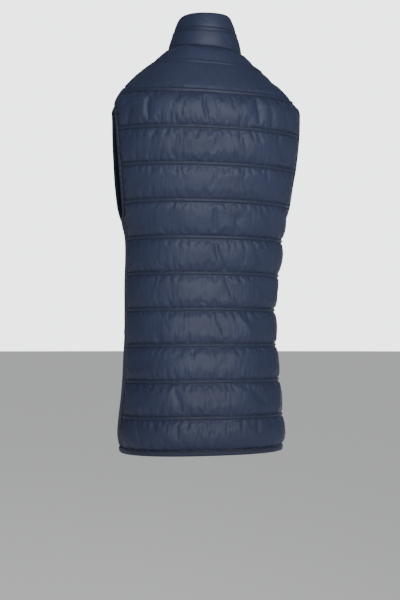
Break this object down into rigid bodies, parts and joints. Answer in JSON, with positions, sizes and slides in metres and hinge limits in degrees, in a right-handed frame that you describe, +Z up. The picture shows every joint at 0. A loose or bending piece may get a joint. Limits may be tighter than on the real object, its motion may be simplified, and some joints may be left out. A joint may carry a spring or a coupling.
{
  "type": "quilted vest",
  "caption": "Sleeveless padded vest with level quilted channels, stand collar, curved shoulder seams, bound armholes, ribbed side panels and a front zip with a hinged pull tab.",
  "frame": {"origin": "between the shoulders inside the hollow vest, at the height where the wearer's shoulders carry the shoulder seams", "axes": "+Z up, -Y out of the front zip, +Y out of the back, +X towards the wearer's left"},
  "size_m": [0.3286, 0.292, 0.7735],
  "materials": {
    "shell": "satin woven polyamide, lightly padded",
    "side_knit": "matt ribbed stretch knit",
    "binding": "matt elastic binding",
    "zip_tape": "woven polyester tape",
    "zip_teeth": "moulded acetal teeth",
    "zip_metal": "dark painted zinc"
  },
  "bodies": {
    "garment": {"back": "shell", "front_left": "shell", "front_right": "shell", "side_left": "side_knit", "side_right": "side_knit", "collar": "shell", "hem_band": "binding", "armhole_binding_left": "binding", "armhole_binding_right": "binding", "zip_tape_left": "zip_tape", "zip_tape_right": "zip_tape", "zip_teeth": "zip_teeth", "zip_slider": "zip_metal"},
    "pull": {"zip_pull": "zip_metal"}
  },
  "joints": [
    {"name": "pull_hinge", "type": "hinge", "parent": "garment", "child": "pull", "pos_m": [-0.01044, -0.09145, 0.0468], "axis": [-1, 0, 0], "range_deg": [0, 140]}
  ]
}
